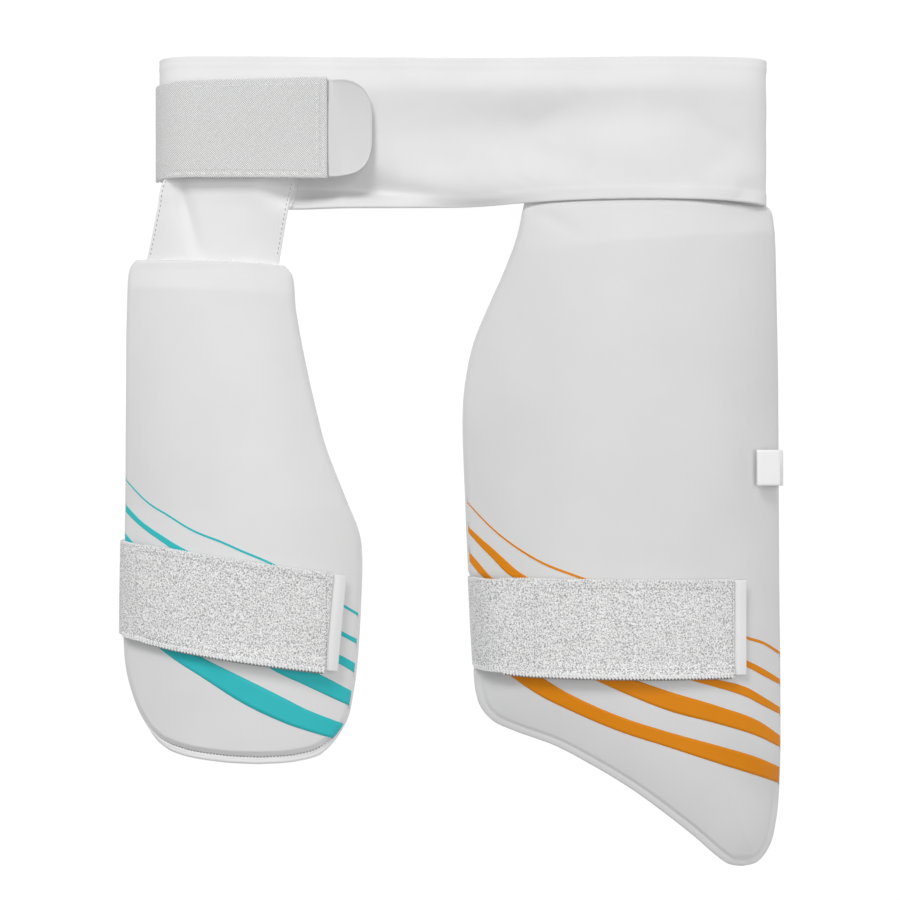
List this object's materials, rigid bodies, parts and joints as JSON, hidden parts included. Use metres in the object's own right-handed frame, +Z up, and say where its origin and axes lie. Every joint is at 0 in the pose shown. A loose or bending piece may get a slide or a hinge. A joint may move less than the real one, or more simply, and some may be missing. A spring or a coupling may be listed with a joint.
{
  "type": "cricket thigh guard",
  "caption": "Combined cricket thigh guard: a padded waist belt carries an outer thigh pad and, on a hanger panel, an inner one, each with an elastic strap.",
  "frame": {"origin": "middle of the footprint, on the floor that the guard lies on", "axes": "+Z up out of the floor, +Y towards the belt's top edge, +X from the inner pad to the outer pad"},
  "size_m": [0.4238, 0.5046, 0.0614],
  "materials": {
    "belt_cloth": "white smooth laminated knit with stitched hems",
    "pad_cloth": "pale grey-white smooth laminated cloth over moulded foam, with printed stripes",
    "backing_cloth": "white brushed lining cloth",
    "loop_webbing": "white terry loop elastic",
    "woven_webbing": "pale grey ribbed twill elastic",
    "hook_tape": "white hook tape",
    "tab_rubber": "matt white moulded rubber",
    "label_cloth": "white woven label, bare"
  },
  "bodies": {
    "root": {"waist_belt": "belt_cloth", "hanger_hook_tape": "hook_tape", "hanger_panel": "belt_cloth", "waist_hook_patch": "hook_tape", "waist_elastic": "woven_webbing", "waist_tab": "tab_rubber", "inner_pad": "pad_cloth", "inner_pad_backing": "backing_cloth", "inner_strap": "loop_webbing", "inner_strap_hook_tape": "hook_tape", "outer_pad": "pad_cloth", "outer_pad_backing": "backing_cloth", "outer_strap": "loop_webbing", "outer_strap_hook_tape": "hook_tape", "side_label": "label_cloth"}
  },
  "joints": []
}
